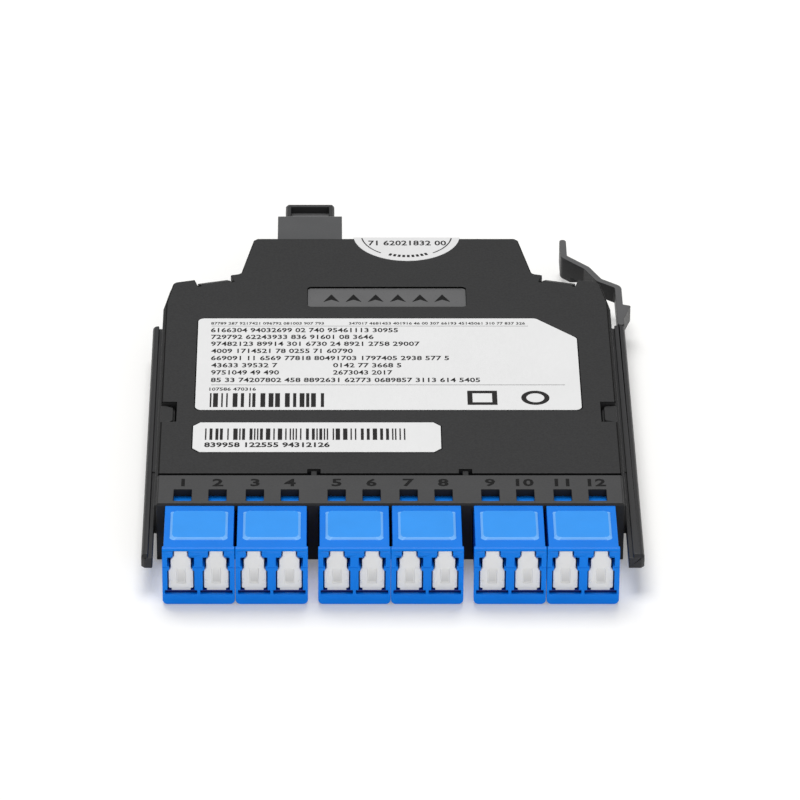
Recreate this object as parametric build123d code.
from build123d import *
import os
from math import atan, degrees, hypot, tan, radians

# Fibre cassette: a flat tray that turns twelve fibres of one multifibre port into six duplex LC ports.
# Frame: X to the right, Y from the ports to the rear, Z up. The origin is on the underside,
# on the centreline, at mid-depth of the housing. All sizes are in millimetres.

# Housing
BODY_DEPTH = 99.5
COVER_HALF_WIDTH = 41.8
BASE_STEP = 0.5
BODY_HEIGHT = 11.7
COVER_THICK = 1.5
FLOOR = 1.5
WALL = 1.5
SILL_Z = 4.3
FRONT_RELIEF = 1.9

# Plan outline of the rear half, from the front face
SIDE_LENGTH = 74.0
SHOULDER_X = 40.55
SHOULDER_Y = 82.0
NECK_ROOT_X = 27.8
NECK_ROOT_Y = 85.5
NECK_END_X = 25.5
NECK_CORNER = 0.7
OUTLINE_RADIUS = 1.2

# Front strip with its windows
STRIP_DEPTH = 10.3
WINDOW_WIDTH = 3.2
WINDOW_DEPTH = 4.0
WINDOW_SETBACK = 1.1
EDGE_CHAMFER = 0.3
SEAM = 0.12

# Cover details
LIP_DEPTH = 1.6
LIP_THICK = 1.0
LIP_CLEARANCE = 0.15
LIP_START = 14.0
TAB_CENTRE = 13.65
TAB_WIDTH = 1.1
TAB_REACH = 1.7
TAB_THICK = 0.9
NOTCH_WIDTH = 2.3
NOTCH_DEPTH = 1.9
POCKET_START = 29.2
POCKET_LENGTH = 7.2
POCKET_DEPTH = 2.9
HOOK_CLEARANCE = 0.6
HOOK_DROP = 0.5
HOOK_RADIUS = 0.9
PANEL_WIDTH = 30.0
PANEL_LENGTH = 7.7
PANEL_START = 72.4
PANEL_RECESS = 0.4
PANEL_RADIUS = 0.8
SNAP_INNER = 29.9
SNAP_OUTER = 36.4
SNAP_GAP = 0.6
SNAP_SLOPE_LENGTH = 2.4
SNAP_SLOPE_DROP = 1.1
SNAP_NOTCH_DEPTH = 3.0

# Labels
LABEL_THICK = 0.1
LABEL_LEFT = -35.5
LABEL_RIGHT = 35.4
LABEL_START = 33.3
LABEL_END = 67.6
LABEL_RADIUS = 1.2
LABEL_CUT = 7.5
SERIAL_LEFT = -35.7
SERIAL_RIGHT = 9.4
SERIAL_START = 18.1
SERIAL_END = 28.7
SERIAL_CUT = 1.3
SEAL_RADIUS = 10.25
SEAL_X = 4.0
SEAL_FOLD = 1.0

# Slide rails
RAIL_Z = 4.3
RAIL_HEIGHT = 2.7
LEFT_RAIL_WIDTH = 2.0
RIGHT_RAIL_WIDTH = 2.8
RAIL_NOSE = 9.9
RAIL_ROUND = 0.9
RAIL_NOSE_CHAMFER = 0.6
RAIL_GROOVE_WIDTH = 0.8
RAIL_GROOVE_DEPTH = 0.6
RAIL_KEY_START = 19.7
RAIL_KEY_END = 66.8
RAIL_KEY_WIDTH = 0.9
RAIL_KEY_RISE = 0.25
RAIL_END = 73.2
TONGUE_STARTS = (8.0, 38.0, 62.0)
TONGUE_LENGTH = 8.0
TONGUE_DEPTH = 1.1
TONGUE_HEIGHT = 1.3
TONGUE_CLEARANCE = 0.05

# Release lever, moulded on a flexure at the rear of the right rail
LEVER_THICK = 1.3
LEVER_SLOT = 1.5
LEVER_SLOT_END = 73.4
LEVER_PIVOT_Y = 74.4
LEVER_Z = 3.6
LEVER_TOP = 7.0
KNUCKLE_CLEARANCE = 0.05
LEVER_CORNER_Y = 88.6
BEND_X = 40.9
BEND_Y = 91.4
SHELF_X = 38.7
SHELF_Y = 96.2
TAB_X = 34.45
LEVER_TAB_Y = 100.9
LEVER_TAB_END = 106.9
LEVER_TAB_Z = 2.4
LEVER_BEND_RADIUS = 1.4
BARB_START = 76.5
BARB_TIP_Y = 81.2
BARB_END = 81.7
BARB_REACH = 1.45
BARB_ROOT = 0.3
BARB_BLUNT = 0.45

# Duplex LC adapters
ADAPTER_CENTRES = (-34.0, -21.07, -6.44, 6.44, 21.07, 34.0)
PORT_OFFSET = 3.125
ADAPTER_WIDTH = 12.82
ADAPTER_REACH = 15.1
ADAPTER_TOP = 11.3
ADAPTER_RADIUS = 0.9
ADAPTER_FRAME = 1.3
ADAPTER_WAIST = 0.25
PAD_WIDTH = 10.4
PAD_LENGTH = 10.1
PAD_START = 1.75
PAD_RISE = 0.32
PAD_RADIUS = 1.1
BAND_LOW = 7.55
BAND_HIGH = 9.68
BAND_DEPTH = 0.12
INSERT_WIDTH = 12.4
INSERT_LENGTH = 10.5
INSERT_CLEARANCE = 0.1
STOP_RIB_HEIGHT = 1.1
STOP_RIB_THICK = 0.8
STOP_CLEARANCE = 0.1

# One LC port
PORT_AXIS_Z = 5.2
PORT_WIDTH = 4.76
PORT_LOW = 2.9
PORT_SHOULDER = 7.35
RAIL_WIDTH_IN_PORT = 4.1
RAIL_TOP_IN_PORT = 7.8
STOP_NIB_DROP = 0.4
LATCH_SHOULDER = 9.7
LATCH_WIDTH = 2.76
LATCH_TOP = 10.85
TROUGH_FLOOR = 1.45
LIP_TOP = 2.08
LIP_WALL = 0.7
HINGE_CHANNEL_WIDTH = 5.7
MIDDLE_WALL_FRONT = 3.6
MIDDLE_WALL_REAR = 1.2
REAR_LATCH_TOP = 9.4
SLEEVE_CENTRE = 1.9
SLEEVE_LENGTH = 6.3
SLEEVE_RADIUS = 0.8
SLEEVE_BORE = 0.66
SLEEVE_CLEARANCE = 0.04
HOLDER_WALL = 0.45

# Shutters and their leaf springs
SHUTTER_THICK = 0.9
SHUTTER_WIDE = 4.4
SHUTTER_MIDDLE = 3.6
SHUTTER_NARROW = 2.4
SHUTTER_CLEARANCE = 0.15
SHUTTER_SETBACK = 0.05
SHUTTER_RADIUS = 0.35
HINGE_SETBACK = 1.4
HINGE_Z = 2.1
PIN_RADIUS = 0.38
PIN_END_CLEARANCE = 0.15
FOOT_WIDTH = 3.4
FOOT_THICK = 0.6
DIMPLE_WIDTH = 1.7
DIMPLE_HEIGHT = 3.5
DIMPLE_LOW = 4.0
DIMPLE_DEPTH = 0.45
SPRING_THICK = 0.15
SPRING_WIDTH = 1.6
SPRING_HEEL = 1.2

# LC connectors plugged in from inside
PLUG_SIZE = 4.5
PLUG_FRONT = 1.5
PLUG_LENGTH = 11.5
PLUG_CHAMFER = 0.4
FERRULE_RADIUS = 0.625
FERRULE_GAP = 0.05
PLUG_LATCH_WIDTH = 2.0
PLUG_LATCH_RISE = 1.7
PLUG_LATCH_THICK = 0.6
PLUG_LATCH_TAIL = 1.5
PLUG_BOOT_LENGTH = 6.0
PLUG_BOOT_RADIUS = 1.7
PLUG_BOOT_END_RADIUS = 1.1

# Rear multifibre adapter, its connector and its dust cap
MPO_X = -14.65
MPO_WIDTH = 12.45
MPO_TOP = 10.1
MPO_BOTTOM = 1.6
MPO_REACH = 12.4
MPO_INSIDE = 13.5
MPO_FLANGE_WIDTH = 14.4
MPO_FLANGE_DEPTH = 2.3
MPO_FLANGE_DROP = 0.9
MPO_FLANGE_RADIUS = 1.4
MPO_SOCKET_WIDTH = 9.7
MPO_SOCKET_HEIGHT = 6.7
MPO_WEB = 2.0
MPO_WINDOW_WIDTH = 6.9
MPO_WINDOW_HEIGHT = 3.1
MPO_BEVEL_LENGTH = 1.5
MPO_BEVEL_DROP = 0.5
MPO_CLEARANCE = 0.1
CAP_LENGTH = 6.2
CAP_INSIDE = 7.0
CAP_CLEARANCE = 0.1
CAP_THUMB_WIDTH = 7.4
CAP_THUMB_LENGTH = 4.4
CAP_THUMB_DEPTH = 1.5
CAP_RIM = 0.9
CAP_CORE_WALL = 1.0
CAP_CHAMFER = 0.5
CAP_THUMB_RAMP = 2.0
MPO_PLUG_WIDTH = 9.5
MPO_PLUG_HEIGHT = 6.5
MPO_SLEEVE_WIDTH = 11.6
MPO_SLEEVE_HEIGHT = 7.6
MPO_SLEEVE_LENGTH = 7.0
MPO_SLEEVE_RADIUS = 1.0
MPO_BOOT_LENGTH = 5.5
MPO_BOOT_WIDTH = 5.6
MPO_BOOT_HEIGHT = 3.4
MPO_BOOT_WALL = 0.5
MPO_FERRULE_WIDTH = 6.4
MPO_FERRULE_HEIGHT = 2.5
MPO_FERRULE_LENGTH = 4.0

# Fibre ribbon, fan-out block and fan-out tubes
RIBBON_WIDTH = 3.1
RIBBON_THICK = 0.35
RIBBON_LENGTH = 3.0
BLOCK_WIDTH = 20.0
BLOCK_LENGTH = 11.0
BLOCK_HEIGHT = 4.0
BLOCK_CHAMFER = 3.0
PEDESTAL_THICK = 1.5
TUBE_RADIUS = 0.45
TUBE_PITCH = 1.5
TUBE_ANGLE = 62.0
TUBE_STAGGER = 0.9
TUBE_LEAD = 2.6
TUBE_BEND = 4.0
TUBE_MIN_RUN = 9.0

# Places worked out from the sizes above
FRONT_Y = -BODY_DEPTH / 2
REAR_Y = BODY_DEPTH / 2
BASE_HALF_WIDTH = COVER_HALF_WIDTH + BASE_STEP
WALL_TOP = BODY_HEIGHT - COVER_THICK
FACE_Y = FRONT_Y - ADAPTER_REACH
HINGE_Y = FACE_Y + HINGE_SETBACK
SLEEVE_Y = FRONT_Y - SLEEVE_CENTRE
INSERT_REAR = FRONT_Y + INSERT_LENGTH
INSERT_BOTTOM = FLOOR + INSERT_CLEARANCE
INSERT_TOP = WALL_TOP - INSERT_CLEARANCE
PORT_CENTRES = [x + side * PORT_OFFSET for x in ADAPTER_CENTRES for side in (-1, 1)]
SHUTTER_FRONT = FACE_Y + LIP_WALL + SHUTTER_SETBACK
SHUTTER_TOP = LATCH_TOP - SHUTTER_CLEARANCE
PLUG_REAR = FRONT_Y + PLUG_FRONT + PLUG_LENGTH
MPO_REAR = REAR_Y + MPO_REACH
MPO_FRONT = REAR_Y - MPO_INSIDE
MPO_Z = (MPO_TOP + MPO_BOTTOM) / 2
SOCKET_END = REAR_Y + MPO_CLEARANCE
BOOT_FRONT = MPO_FRONT - MPO_CLEARANCE - MPO_SLEEVE_LENGTH - MPO_BOOT_LENGTH
BLOCK_REAR = BOOT_FRONT - RIBBON_LENGTH
BLOCK_FRONT = BLOCK_REAR - BLOCK_LENGTH
BLOCK_BOTTOM = PORT_AXIS_Z - BLOCK_HEIGHT / 2
LEVER_X = BASE_HALF_WIDTH + LEVER_SLOT + LEVER_THICK / 2
SNAP_CENTRE = (SNAP_INNER + SNAP_OUTER) / 2


def block(x0, x1, y0, y1, z0, z1):
    """A block between two corners."""
    centre = Pos((x0 + x1) / 2, (y0 + y1) / 2, (z0 + z1) / 2)
    return centre * Box(x1 - x0, y1 - y0, z1 - z0)


def centred(x, width, y0, y1, z0, z1):
    """A block of a given width, centred on x."""
    return block(x - width / 2, x + width / 2, y0, y1, z0, z1)


def tube_along_y(x, z, radius, y0, y1):
    """A round bar along Y."""
    return Pos(x, (y0 + y1) / 2, z) * Rot(90, 0, 0) * Cylinder(radius, y1 - y0)


def edges_along(shape, axis):
    """The straight edges of a shape that lie along an axis."""
    return shape.edges().filter_by(axis)


def plan_outline(half_width):
    """The housing seen from above: straight sides, sloping shoulders and a narrower neck."""
    extra = half_width - COVER_HALF_WIDTH
    right = [
        (half_width, FRONT_Y),
        (half_width, FRONT_Y + SIDE_LENGTH),
        (SHOULDER_X + extra, FRONT_Y + SHOULDER_Y),
        (NECK_ROOT_X, FRONT_Y + NECK_ROOT_Y),
        (NECK_END_X, REAR_Y - NECK_CORNER),
        (NECK_END_X - NECK_CORNER, REAR_Y),
    ]
    left = [(-x, y) for x, y in reversed(right)]
    outline = make_face(Polyline(*right, *left, close=True))
    bends = outline.vertices().filter_by(
        lambda v: FRONT_Y + SIDE_LENGTH < v.Y - 0.01 and v.Y < REAR_Y - NECK_CORNER - 0.01
    )
    return fillet(bends, OUTLINE_RADIUS)


def raised(face, z0, z1):
    """A flat outline raised from z0 to z1."""
    return Pos(0, 0, z0) * extrude(face, z1 - z0)


def window_cuts():
    """The twelve windows of the front strip, one over each port."""
    start = FRONT_Y + WINDOW_SETBACK
    return [
        centred(x, WINDOW_WIDTH, start, start + WINDOW_DEPTH, WALL_TOP, BODY_HEIGHT)
        for x in PORT_CENTRES
    ]


def adapter_openings():
    """Three openings in the front wall, each for a pair of adapters."""
    half = INSERT_WIDTH / 2 + INSERT_CLEARANCE
    pairs = zip(ADAPTER_CENTRES[0::2], ADAPTER_CENTRES[1::2])
    return [
        block(left - half, right + half, FRONT_Y - 1, FRONT_Y + WALL + 1, FLOOR, WALL_TOP)
        for left, right in pairs
    ]


def tongue_shapes(side, clearance):
    """The tongues that hold a rail to the housing's side, or the slots that take them."""
    inner = BASE_HALF_WIDTH - TONGUE_DEPTH - clearance
    z0 = RAIL_Z + (RAIL_HEIGHT - TONGUE_HEIGHT) / 2
    shapes = []
    for start in TONGUE_STARTS:
        y0 = FRONT_Y + start
        shape = block(
            inner,
            BASE_HALF_WIDTH,
            y0 - clearance,
            y0 + TONGUE_LENGTH + clearance,
            z0 - clearance,
            z0 + TONGUE_HEIGHT + clearance,
        )
        shapes.append(shape if side > 0 else mirror(shape, Plane.YZ))
    return shapes


def cover_hook(side):
    """The round-ended hook on the side wall that holds the cover."""
    start = FRONT_Y + POCKET_START + HOOK_CLEARANCE
    end = FRONT_Y + POCKET_START + POCKET_LENGTH - HOOK_CLEARANCE
    inner = COVER_HALF_WIDTH - POCKET_DEPTH + HOOK_CLEARANCE
    hook = block(inner, COVER_HALF_WIDTH, start, end, WALL_TOP, BODY_HEIGHT - HOOK_DROP)
    rounds = edges_along(hook, Axis.Z).sort_by(Axis.X)[:2]
    hook = fillet(rounds, HOOK_RADIUS)
    return hook if side > 0 else mirror(hook, Plane.YZ)


def base_inside():
    """Ribs inside the tray: adapter stop, pedestal of the fan-out block and adapter guides."""
    half = COVER_HALF_WIDTH - WALL
    stop = INSERT_REAR + STOP_CLEARANCE
    parts = [block(-half, half, stop, stop + STOP_RIB_THICK, FLOOR, FLOOR + STOP_RIB_HEIGHT)]
    for y in (BLOCK_FRONT + PEDESTAL_THICK, BLOCK_REAR - 2 * PEDESTAL_THICK):
        parts.append(centred(MPO_X, BLOCK_WIDTH, y, y + PEDESTAL_THICK, FLOOR, BLOCK_BOTTOM))
    for side in (-1, 1):
        x = MPO_X + side * (MPO_WIDTH / 2 + MPO_CLEARANCE + WALL / 2)
        parts.append(centred(x, WALL, MPO_FRONT, REAR_Y - WALL, FLOOR, MPO_Z))
    return parts


def base_housing():
    """The moulded tray with its front strip."""
    base = raised(plan_outline(COVER_HALF_WIDTH), 0, WALL_TOP)
    band = raised(plan_outline(BASE_HALF_WIDTH), SILL_Z, WALL_TOP)
    edge = BASE_HALF_WIDTH + 1
    band -= block(-edge, edge, FRONT_Y - 1, FRONT_Y + FRONT_RELIEF, 0, BODY_HEIGHT)
    base += band
    strip = centred(
        0, 2 * COVER_HALF_WIDTH, FRONT_Y, FRONT_Y + STRIP_DEPTH, WALL_TOP - WALL, BODY_HEIGHT
    )
    top_edges = strip.faces().sort_by(Axis.Z)[-1].edges()
    base += chamfer(top_edges, EDGE_CHAMFER)
    inside = offset(plan_outline(COVER_HALF_WIDTH), -WALL, kind=Kind.INTERSECTION)
    base -= raised(inside, FLOOR, WALL_TOP)
    base += base_inside()
    base -= adapter_openings()
    base -= window_cuts()
    base -= centred(
        MPO_X,
        MPO_WIDTH + 2 * MPO_CLEARANCE,
        REAR_Y - WALL - 1,
        REAR_Y + 1,
        FLOOR,
        WALL_TOP,
    )
    for side in (-1, 1):
        base -= tongue_shapes(side, TONGUE_CLEARANCE)
        base += cover_hook(side)
        middle = WALL_TOP + (COVER_THICK - TAB_THICK) / 2
        base += centred(
            side * TAB_CENTRE,
            TAB_WIDTH,
            FRONT_Y + STRIP_DEPTH,
            FRONT_Y + STRIP_DEPTH + TAB_REACH,
            middle,
            middle + TAB_THICK,
        )
    return base


def snap_cuts(side):
    """The sloped rear snap tab of the cover, with a notch at each end of it."""
    slope = (NECK_ROOT_Y - SHOULDER_Y) / (SHOULDER_X - NECK_ROOT_X)
    edge_y = FRONT_Y + SHOULDER_Y + slope * (SHOULDER_X - SNAP_CENTRE)
    turn = degrees(atan(slope))
    length = SNAP_OUTER - SNAP_INNER
    profile = Polyline(
        (-SNAP_SLOPE_LENGTH, COVER_THICK),
        (0, COVER_THICK - SNAP_SLOPE_DROP),
        (2, COVER_THICK - SNAP_SLOPE_DROP),
        (2, COVER_THICK + 1),
        (-SNAP_SLOPE_LENGTH, COVER_THICK + 1),
        close=True,
    )
    wedge = extrude(Plane.YZ * make_face(profile), length / 2, both=True)
    cuts = [wedge]
    for x in (-length / 2, length / 2):
        cuts.append(centred(x, SNAP_GAP, -SNAP_NOTCH_DEPTH, 2, -1, COVER_THICK + 1))
    place = Pos(SNAP_CENTRE, edge_y, WALL_TOP) * Rot(0, 0, -turn)
    cuts = [place * cut for cut in cuts]
    return cuts if side > 0 else [mirror(cut, Plane.YZ) for cut in cuts]


def cover_lip():
    """The locating lip under the cover, just inside the tray's walls."""
    outer = offset(
        plan_outline(COVER_HALF_WIDTH), -(WALL + LIP_CLEARANCE), kind=Kind.INTERSECTION
    )
    inner = offset(
        plan_outline(COVER_HALF_WIDTH), -(WALL + LIP_CLEARANCE + LIP_THICK), kind=Kind.INTERSECTION
    )
    lip = raised(outer - inner, WALL_TOP - LIP_DEPTH, WALL_TOP)
    edge = BASE_HALF_WIDTH
    lip -= block(-edge, edge, FRONT_Y - 1, FRONT_Y + LIP_START, 0, BODY_HEIGHT)
    gap = MPO_WIDTH + 2 * (MPO_CLEARANCE + WALL)
    lip -= centred(MPO_X, gap, MPO_FRONT - 1, REAR_Y, 0, WALL_TOP)
    return lip


def top_cover():
    """The flat cover with its recessed panel, hook pockets and sloped snap tabs."""
    cover = raised(plan_outline(COVER_HALF_WIDTH), WALL_TOP, BODY_HEIGHT)
    edge = BASE_HALF_WIDTH
    front = FRONT_Y + STRIP_DEPTH + SEAM
    cover -= block(-edge, edge, FRONT_Y - 1, front, WALL_TOP - 1, BODY_HEIGHT + 1)
    cover = chamfer(cover.faces().sort_by(Axis.Z)[-1].edges(), EDGE_CHAMFER)
    for side in (-1, 1):
        cover -= snap_cuts(side)
        cover -= centred(
            side * TAB_CENTRE,
            NOTCH_WIDTH,
            front - 1,
            FRONT_Y + STRIP_DEPTH + NOTCH_DEPTH,
            WALL_TOP - 1,
            BODY_HEIGHT + 1,
        )
        x = side * (COVER_HALF_WIDTH - POCKET_DEPTH / 2 + 0.5)
        start = FRONT_Y + POCKET_START
        cover -= centred(
            x, POCKET_DEPTH + 1, start, start + POCKET_LENGTH, WALL_TOP - 1, BODY_HEIGHT + 1
        )
    panel = RectangleRounded(PANEL_WIDTH, PANEL_LENGTH, PANEL_RADIUS)
    panel_y = FRONT_Y + PANEL_START + PANEL_LENGTH / 2
    cover -= raised(Pos(0, panel_y) * panel, BODY_HEIGHT - PANEL_RECESS, BODY_HEIGHT + 1)
    return cover + cover_lip()


def rail_body(width, y0, y1):
    """A slide rail on the right: rounded outside, grooved along the housing, with a raised key."""
    inner = BASE_HALF_WIDTH
    top = RAIL_Z + RAIL_HEIGHT
    rail = block(inner, inner + width, y0, y1, RAIL_Z, top)
    outer_top = edges_along(rail, Axis.Y).sort_by(Axis.X)[-2:].sort_by(Axis.Z)[-1]
    rail = fillet(outer_top, RAIL_ROUND)
    rail -= block(
        inner, inner + RAIL_GROOVE_WIDTH, y0 - 1, y1 + 1, top - RAIL_GROOVE_DEPTH, top + 1
    )
    rail += block(
        inner,
        inner + RAIL_KEY_WIDTH,
        FRONT_Y + RAIL_KEY_START,
        FRONT_Y + RAIL_KEY_END,
        top - RAIL_GROOVE_DEPTH,
        top - RAIL_GROOVE_DEPTH + RAIL_KEY_RISE,
    )
    nose = edges_along(rail, Axis.Z).filter_by(lambda e: e.center().Y < y0 + 0.01)
    return chamfer(nose.sort_by(Axis.X)[-1], RAIL_NOSE_CHAMFER)


def left_rail():
    """The left slide rail."""
    rail = rail_body(LEFT_RAIL_WIDTH, FRONT_Y - RAIL_NOSE, FRONT_Y + RAIL_END)
    return mirror(rail, Plane.YZ) + tongue_shapes(-1, 0)


def right_rail():
    """The right slide rail, with a rounded slot and a cup at the root of the lever."""
    pivot_y = FRONT_Y + LEVER_PIVOT_Y
    rail = rail_body(RIGHT_RAIL_WIDTH, FRONT_Y - RAIL_NOSE, pivot_y)
    slot_radius = LEVER_SLOT / 2
    slot_x = BASE_HALF_WIDTH + slot_radius
    slot_y = FRONT_Y + LEVER_SLOT_END + slot_radius
    z0 = RAIL_Z - 1
    z1 = RAIL_Z + RAIL_HEIGHT + 1
    rail -= block(BASE_HALF_WIDTH, slot_x + slot_radius, slot_y, pivot_y + 1, z0, z1)
    rail -= Pos(slot_x, slot_y, (z0 + z1) / 2) * Cylinder(slot_radius, z1 - z0)
    cup = Cylinder(LEVER_THICK / 2 + KNUCKLE_CLEARANCE, z1 - z0)
    rail -= Pos(LEVER_X, pivot_y, (z0 + z1) / 2) * cup
    return rail + tongue_shapes(1, 0)


def lever_path():
    """The line down the middle of the lever, from its root to the finger tab."""
    points = [
        (LEVER_X, FRONT_Y + LEVER_PIVOT_Y),
        (LEVER_X, FRONT_Y + LEVER_CORNER_Y),
        (BEND_X, FRONT_Y + BEND_Y),
        (SHELF_X, FRONT_Y + SHELF_Y),
        (TAB_X, FRONT_Y + LEVER_TAB_Y),
        (TAB_X, FRONT_Y + LEVER_TAB_END),
    ]
    return FilletPolyline(*points, radius=LEVER_BEND_RADIUS)


def release_lever():
    """The release lever: an arm with a barb, a cranked shelf and a deeper finger tab."""
    band = make_face(offset(lever_path(), LEVER_THICK / 2, side=Side.BOTH))
    arm = raised(band, LEVER_Z, LEVER_TOP)
    outer = LEVER_X + LEVER_THICK / 2
    barb = make_face(
        Polyline(
            (outer - BARB_ROOT, FRONT_Y + BARB_START),
            (outer, FRONT_Y + BARB_START),
            (outer + BARB_REACH, FRONT_Y + BARB_TIP_Y),
            (outer + BARB_REACH - BARB_BLUNT, FRONT_Y + BARB_END - BARB_ROOT),
            (outer, FRONT_Y + BARB_END),
            (outer - BARB_ROOT, FRONT_Y + BARB_END),
            close=True,
        )
    )
    arm += raised(barb, LEVER_Z, LEVER_TOP)
    skirt_start = FRONT_Y + SHELF_Y + (LEVER_TAB_Y - SHELF_Y) / 2
    reach = block(0, SHELF_X, skirt_start, FRONT_Y + LEVER_TAB_END + 1, 0, BODY_HEIGHT)
    return arm + (raised(band, LEVER_TAB_Z, LEVER_Z) & reach)


def port_cuts(x):
    """The hollow of one front port: hinge channel, body, side rails and latch slot."""
    back = FRONT_Y - MIDDLE_WALL_FRONT
    lip_back = FACE_Y + LIP_WALL
    channel_back = HINGE_Y + PIN_RADIUS + PIN_END_CLEARANCE
    front = FACE_Y - 1
    return [
        centred(x, PORT_WIDTH, lip_back, back, TROUGH_FLOOR, PORT_SHOULDER),
        centred(x, PORT_WIDTH, front, back, LIP_TOP, PORT_SHOULDER - STOP_NIB_DROP),
        centred(x, HINGE_CHANNEL_WIDTH, front, channel_back, LIP_TOP, PORT_LOW),
        centred(x, HINGE_CHANNEL_WIDTH, lip_back, channel_back, TROUGH_FLOOR, PORT_LOW),
        centred(x, RAIL_WIDTH_IN_PORT, front, back, LIP_TOP, RAIL_TOP_IN_PORT),
        centred(x, PORT_WIDTH, front, back, RAIL_TOP_IN_PORT, LATCH_SHOULDER),
        centred(x, LATCH_WIDTH, front, back, LATCH_SHOULDER - 0.1, LATCH_TOP),
    ]


def rear_port_cuts(x):
    """The hollow of one rear port, for the connector inside the housing."""
    y0 = FRONT_Y - MIDDLE_WALL_REAR
    y1 = INSERT_REAR + 1
    low = PORT_AXIS_Z - PORT_WIDTH / 2
    high = PORT_AXIS_Z + PORT_WIDTH / 2
    return [
        centred(x, PORT_WIDTH, y0, y1, low, high),
        centred(x, LATCH_WIDTH, y0, y1, high - 0.1, REAR_LATCH_TOP),
    ]


def sleeve_holder(x):
    """The round holder of one alignment sleeve, in the adapter's middle wall."""
    radius = SLEEVE_RADIUS + SLEEVE_CLEARANCE + HOLDER_WALL
    y0 = SLEEVE_Y - SLEEVE_LENGTH / 2
    return tube_along_y(x, PORT_AXIS_Z, radius, y0, y0 + SLEEVE_LENGTH)


def lc_adapter(centre):
    """One duplex adapter: front frame, waisted body, roof pad and the insert behind the wall."""
    frame = centred(centre, ADAPTER_WIDTH, FACE_Y, FACE_Y + ADAPTER_FRAME, 0, ADAPTER_TOP)
    waist = ADAPTER_WIDTH - 2 * ADAPTER_WAIST
    body = centred(centre, waist, FACE_Y, FRONT_Y, 0, ADAPTER_TOP)
    brow = edges_along(frame, Axis.X).group_by(Axis.Y)[0].sort_by(Axis.Z)[-1]
    corners = edges_along(frame, Axis.Y).group_by(Axis.Z)[0]
    adapter = fillet([brow, *corners], ADAPTER_RADIUS)
    adapter += body - block(-100, 100, FACE_Y - 1, FACE_Y + ADAPTER_FRAME, -1, BODY_HEIGHT)
    adapter += centred(
        centre, INSERT_WIDTH, FRONT_Y, INSERT_REAR, INSERT_BOTTOM, INSERT_TOP
    )
    pad_y = FRONT_Y - PAD_START - PAD_LENGTH / 2
    pad = RectangleRounded(PAD_WIDTH, PAD_LENGTH, PAD_RADIUS)
    adapter += raised(Pos(centre, pad_y) * pad, ADAPTER_TOP - PAD_RISE, ADAPTER_TOP + PAD_RISE)
    adapter -= centred(
        centre, ADAPTER_WIDTH + 1, FACE_Y - 1, FACE_Y + BAND_DEPTH, BAND_LOW, BAND_HIGH
    )
    for side in (-1, 1):
        x = centre + side * PORT_OFFSET
        adapter -= port_cuts(x)
        adapter -= rear_port_cuts(x)
        adapter += sleeve_holder(x)
    for side in (-1, 1):
        x = centre + side * PORT_OFFSET
        bore = SLEEVE_RADIUS + SLEEVE_CLEARANCE
        y0 = SLEEVE_Y - SLEEVE_LENGTH / 2
        adapter -= tube_along_y(x, PORT_AXIS_Z, bore, y0 - 1, y0 + SLEEVE_LENGTH + 1)
    return adapter


def shutter_outline():
    """The keyhole outline of a shutter, as seen from the front, centred on its own port."""
    wide_top = PORT_SHOULDER - SHUTTER_CLEARANCE
    middle_top = LATCH_SHOULDER - SHUTTER_CLEARANCE
    right = [
        (SHUTTER_WIDE / 2, PORT_LOW),
        (SHUTTER_WIDE / 2, wide_top),
        (SHUTTER_MIDDLE / 2, wide_top),
        (SHUTTER_MIDDLE / 2, middle_top),
        (SHUTTER_NARROW / 2, middle_top),
        (SHUTTER_NARROW / 2, SHUTTER_TOP),
    ]
    left = [(-x, z) for x, z in reversed(right)]
    outline = make_face(Polyline(*right, *left, close=True))
    narrowest_step = min(SHUTTER_WIDE - SHUTTER_MIDDLE, SHUTTER_MIDDLE - SHUTTER_NARROW) / 2
    return fillet(outline.vertices(), min(SHUTTER_RADIUS, 0.45 * narrowest_step))


def shutter(x):
    """One shutter: a keyhole plate with a dimple, a foot and a hinge pin along its lower edge."""
    stand = Pos(x, SHUTTER_FRONT, 0) * Rot(90, 0, 0)
    plate = stand * Pos(0, 0, -SHUTTER_THICK) * extrude(shutter_outline(), SHUTTER_THICK)
    dimple = centred(
        x,
        DIMPLE_WIDTH,
        SHUTTER_FRONT - 1,
        SHUTTER_FRONT + DIMPLE_DEPTH,
        DIMPLE_LOW,
        DIMPLE_LOW + DIMPLE_HEIGHT,
    )
    plate -= dimple
    half = FOOT_THICK / 2
    plate += centred(x, FOOT_WIDTH, HINGE_Y - half, HINGE_Y + half, HINGE_Z, PORT_LOW + 0.5)
    length = HINGE_CHANNEL_WIDTH - 2 * PIN_END_CLEARANCE
    return plate + Pos(x, HINGE_Y, HINGE_Z) * Rot(0, 90, 0) * Cylinder(PIN_RADIUS, length)


def shutter_spring(x):
    """One leaf spring in the trough under a shutter, turned up against the middle wall."""
    y0 = FACE_Y + LIP_WALL + SPRING_THICK
    y1 = FRONT_Y - MIDDLE_WALL_FRONT
    leaf = centred(x, SPRING_WIDTH, y0, y1, TROUGH_FLOOR, TROUGH_FLOOR + SPRING_THICK)
    heel_top = TROUGH_FLOOR + SPRING_HEEL
    return leaf + centred(x, SPRING_WIDTH, y1 - SPRING_THICK, y1, TROUGH_FLOOR, heel_top)


def alignment_sleeves():
    """The twelve ceramic sleeves in which the ferrules meet."""
    y0 = SLEEVE_Y - SLEEVE_LENGTH / 2
    y1 = y0 + SLEEVE_LENGTH
    return [
        tube_along_y(x, PORT_AXIS_Z, SLEEVE_RADIUS, y0, y1)
        - tube_along_y(x, PORT_AXIS_Z, SLEEVE_BORE, y0 - 1, y1 + 1)
        for x in PORT_CENTRES
    ]


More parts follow.
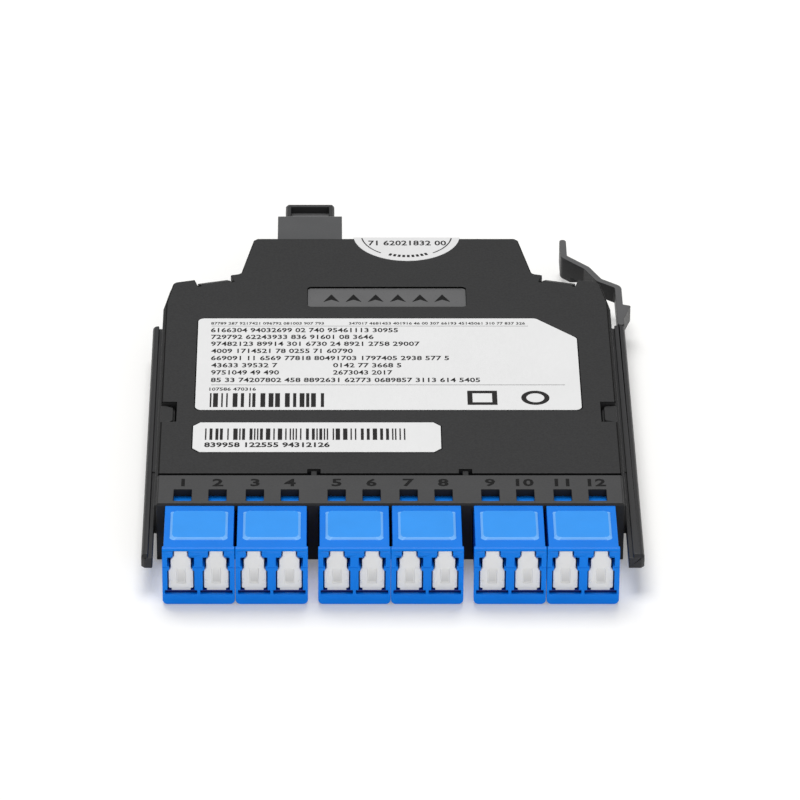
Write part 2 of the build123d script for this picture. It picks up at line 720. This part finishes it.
def lc_connector(x):
    """One LC connector inside the housing: ferrule, body, latch arm and boot."""
    y0 = FRONT_Y + PLUG_FRONT
    low = PORT_AXIS_Z - PLUG_SIZE / 2
    high = PORT_AXIS_Z + PLUG_SIZE / 2
    body = centred(x, PLUG_SIZE, y0, PLUG_REAR, low, high)
    body = chamfer(edges_along(body, Axis.Y), PLUG_CHAMFER)
    root = high - PLUG_CHAMFER / 2
    top = high + PLUG_LATCH_RISE
    end = INSERT_REAR + PLUG_LATCH_TAIL
    arm = Polyline(
        (y0 + PLUG_CHAMFER, root),
        (y0 + PLUG_CHAMFER + PLUG_LATCH_THICK, root),
        (INSERT_REAR, top - PLUG_LATCH_THICK),
        (end, top - PLUG_LATCH_THICK),
        (end, top),
        (INSERT_REAR - PLUG_LATCH_THICK, top),
        close=True,
    )
    latch = extrude(Plane.YZ * make_face(arm), PLUG_LATCH_WIDTH / 2, both=True)
    body += Pos(x, 0, 0) * latch
    body += tube_along_y(x, PORT_AXIS_Z, FERRULE_RADIUS, SLEEVE_Y + FERRULE_GAP, y0)
    boot = Cone(PLUG_BOOT_RADIUS, PLUG_BOOT_END_RADIUS, PLUG_BOOT_LENGTH)
    middle = PLUG_REAR + PLUG_BOOT_LENGTH / 2
    return body + Pos(x, middle, PORT_AXIS_Z) * Rot(-90, 0, 0) * boot


def mpo_adapter():
    """The rear multifibre adapter: a sleeve through the rear wall, with a flange outside it."""
    body = centred(MPO_X, MPO_WIDTH, MPO_FRONT, MPO_REAR, MPO_BOTTOM, MPO_TOP)
    top_rear = edges_along(body, Axis.X).group_by(Axis.Y)[-1].sort_by(Axis.Z)[-1]
    top = body.faces().sort_by(Axis.Z)[-1]
    body = chamfer(top_rear, MPO_BEVEL_DROP, MPO_BEVEL_LENGTH, reference=top)
    flange = centred(
        MPO_X,
        MPO_FLANGE_WIDTH,
        REAR_Y,
        REAR_Y + MPO_FLANGE_DEPTH,
        MPO_BOTTOM - MPO_FLANGE_DROP,
        MPO_TOP,
    )
    upper = edges_along(flange, Axis.Y).group_by(Axis.Z)[-1]
    body += fillet(upper, MPO_FLANGE_RADIUS)
    half = MPO_SOCKET_HEIGHT / 2
    body -= centred(
        MPO_X, MPO_SOCKET_WIDTH, SOCKET_END, MPO_REAR + 1, MPO_Z - half, MPO_Z + half
    )
    body -= centred(
        MPO_X,
        MPO_SOCKET_WIDTH,
        MPO_FRONT - 1,
        SOCKET_END - MPO_WEB,
        MPO_Z - half,
        MPO_Z + half,
    )
    half = MPO_WINDOW_HEIGHT / 2
    return body - centred(
        MPO_X, MPO_WINDOW_WIDTH, MPO_FRONT, MPO_REAR, MPO_Z - half, MPO_Z + half
    )


def mpo_dust_cap():
    """The dust cap: a hollow plug in the socket and a thumb grip with a stepped recess."""
    width = MPO_SOCKET_WIDTH - 2 * CAP_CLEARANCE
    half = MPO_SOCKET_HEIGHT / 2 - CAP_CLEARANCE
    y0 = MPO_REAR - CAP_INSIDE
    y1 = MPO_REAR + CAP_LENGTH
    cap = centred(MPO_X, width, y0, y1, MPO_Z - half, MPO_Z + half)
    cap = chamfer(edges_along(cap, Axis.Y), CAP_CHAMFER)
    thumb_end = y1 - CAP_RIM
    thumb_start = thumb_end - CAP_THUMB_LENGTH
    top = MPO_Z + half
    profile = Polyline(
        (thumb_start, top + 1),
        (thumb_start, top - CAP_THUMB_DEPTH / 2),
        (thumb_start + CAP_THUMB_RAMP, top - CAP_THUMB_DEPTH),
        (thumb_end, top - CAP_THUMB_DEPTH),
        (thumb_end, top + 1),
        close=True,
    )
    thumb = extrude(Plane.YZ * make_face(profile), CAP_THUMB_WIDTH / 2, both=True)
    cap -= Pos(MPO_X, 0, 0) * thumb
    core = half - CAP_CORE_WALL
    return cap - centred(
        MPO_X, width - 2 * CAP_CORE_WALL, y0 - 1, MPO_REAR - 1, MPO_Z - core, MPO_Z + core
    )


def mpo_connector():
    """The multifibre connector inside the housing: ferrule, body, grip sleeve and boot."""
    nose = SOCKET_END - MPO_WEB - MPO_CLEARANCE
    half = MPO_PLUG_HEIGHT / 2
    plug = centred(MPO_X, MPO_PLUG_WIDTH, MPO_FRONT - 1, nose, MPO_Z - half, MPO_Z + half)
    grip_rear = MPO_FRONT - MPO_CLEARANCE
    grip_front = grip_rear - MPO_SLEEVE_LENGTH
    half = MPO_SLEEVE_HEIGHT / 2
    grip = centred(
        MPO_X, MPO_SLEEVE_WIDTH, grip_front, grip_rear, MPO_Z - half, MPO_Z + half
    )
    plug += fillet(edges_along(grip, Axis.Y), MPO_SLEEVE_RADIUS)
    half = MPO_FERRULE_HEIGHT / 2
    tip = nose + MPO_FERRULE_LENGTH
    plug += centred(MPO_X, MPO_FERRULE_WIDTH, nose, tip, MPO_Z - half, MPO_Z + half)
    wide = Rectangle(MPO_BOOT_WIDTH, MPO_BOOT_HEIGHT)
    narrow = Rectangle(RIBBON_WIDTH + 2 * MPO_BOOT_WALL, RIBBON_THICK + 2 * MPO_BOOT_WALL)
    boot = loft([Pos(0, 0, 0) * wide, Pos(0, 0, MPO_BOOT_LENGTH) * narrow])
    return plug + Pos(MPO_X, grip_front, MPO_Z) * Rot(90, 0, 0) * boot


def fibre_ribbon():
    """The flat twelve-fibre ribbon between the connector's boot and the fan-out block."""
    half = RIBBON_THICK / 2
    return centred(MPO_X, RIBBON_WIDTH, BLOCK_REAR, BOOT_FRONT, MPO_Z - half, MPO_Z + half)


def fan_out_block():
    """The block in which the ribbon's fibres enter their tubes."""
    body = centred(
        MPO_X, BLOCK_WIDTH, BLOCK_FRONT, BLOCK_REAR, BLOCK_BOTTOM, BLOCK_BOTTOM + BLOCK_HEIGHT
    )
    return chamfer(edges_along(body, Axis.Z).group_by(Axis.Y)[-1], BLOCK_CHAMFER)


def tube_start(index):
    """Where a fan-out tube leaves the block."""
    return MPO_X + (index - (len(PORT_CENTRES) - 1) / 2) * TUBE_PITCH


def fan_out_tube(index):
    """One fan-out tube: straight out of the block, slanting to its port, straight into the boot."""
    x0 = tube_start(index)
    x1 = PORT_CENTRES[index]
    shift = x1 - x0
    rank = len(PORT_CENTRES) - 1 - index if shift > 0 else index
    run = max(abs(shift) / tan(radians(TUBE_ANGLE)), TUBE_MIN_RUN)
    bend_y = BLOCK_FRONT - TUBE_LEAD - rank * TUBE_STAGGER
    end_y = PLUG_REAR + PLUG_BOOT_LENGTH
    points = [(x0, BLOCK_FRONT), (x0, bend_y), (x1, bend_y - run), (x1, end_y)]
    slant = hypot(shift, run)
    turn = atan(abs(shift) / run)
    bend = min(TUBE_BEND, 0.45 * slant / tan(turn / 2))
    path = FilletPolyline(*[(x, y, PORT_AXIS_Z) for x, y in points], radius=bend)
    section = Plane(origin=(x0, BLOCK_FRONT, PORT_AXIS_Z), z_dir=(0, -1, 0)) * Circle(TUBE_RADIUS)
    return sweep(section, path=path)


def product_label():
    """The large label on the cover, with one corner cut off."""
    points = [
        (LABEL_LEFT, FRONT_Y + LABEL_START),
        (LABEL_RIGHT, FRONT_Y + LABEL_START),
        (LABEL_RIGHT, FRONT_Y + LABEL_END - LABEL_CUT),
        (LABEL_RIGHT - LABEL_CUT, FRONT_Y + LABEL_END),
        (LABEL_LEFT, FRONT_Y + LABEL_END),
    ]
    outline = make_face(Polyline(*points, close=True))
    outline = fillet(outline.vertices(), LABEL_RADIUS)
    return raised(outline, BODY_HEIGHT, BODY_HEIGHT + LABEL_THICK)


def serial_label():
    """The narrow label in front of it, with cut corners."""
    width = SERIAL_RIGHT - SERIAL_LEFT
    outline = Rectangle(width, SERIAL_END - SERIAL_START)
    outline = chamfer(outline.vertices(), SERIAL_CUT)
    place = Pos((SERIAL_LEFT + SERIAL_RIGHT) / 2, FRONT_Y + (SERIAL_START + SERIAL_END) / 2)
    return raised(place * outline, BODY_HEIGHT, BODY_HEIGHT + LABEL_THICK)


def tamper_seal():
    """The round seal, folded over the rear edge so that it bridges the cover and the base."""
    on_top = Pos(SEAL_X, REAR_Y + SEAL_FOLD) * Circle(SEAL_RADIUS)
    top = raised(on_top, BODY_HEIGHT, BODY_HEIGHT + LABEL_THICK)
    top &= block(-50, 50, 0, REAR_Y + LABEL_THICK, 0, BODY_HEIGHT + 1)
    flap = Pos(SEAL_X, REAR_Y, BODY_HEIGHT - SEAL_FOLD) * Rot(-90, 0, 0)
    flap = flap * extrude(Circle(SEAL_RADIUS), LABEL_THICK)
    flap &= block(-50, 50, 0, REAR_Y + 1, 0, BODY_HEIGHT + LABEL_THICK)
    return top + flap


def save(shape, name):
    """Write one piece, or a group of like pieces, to its own file."""
    solids = shape if isinstance(shape, list) else [shape]
    solids = [solid for item in solids for solid in item.solids()]
    export_step(Compound(children=solids), f"parts/{name}.step")


os.makedirs("parts", exist_ok=True)

save(base_housing(), "base_housing")
save(top_cover(), "top_cover")
save(left_rail(), "left_rail")
save(right_rail(), "right_rail")
save(release_lever(), "release_lever")
for number, centre in enumerate(ADAPTER_CENTRES, start=1):
    save(lc_adapter(centre), f"lc_adapter_{number}")
for number, x in enumerate(PORT_CENTRES, start=1):
    save(shutter(x), f"shutter_{number:02d}")
    save(shutter_spring(x), f"shutter_spring_{number:02d}")
    save(lc_connector(x), f"lc_connector_{number:02d}")
save(alignment_sleeves(), "alignment_sleeves")
save(mpo_adapter(), "mpo_adapter")
save(mpo_dust_cap(), "mpo_dust_cap")
save(mpo_connector(), "mpo_connector")
save(fibre_ribbon(), "fibre_ribbon")
save(fan_out_block(), "fan_out_block")
save([fan_out_tube(index) for index in range(len(PORT_CENTRES))], "fan_out_tubes")
save(product_label(), "product_label")
save(serial_label(), "serial_label")
save(tamper_seal(), "tamper_seal")
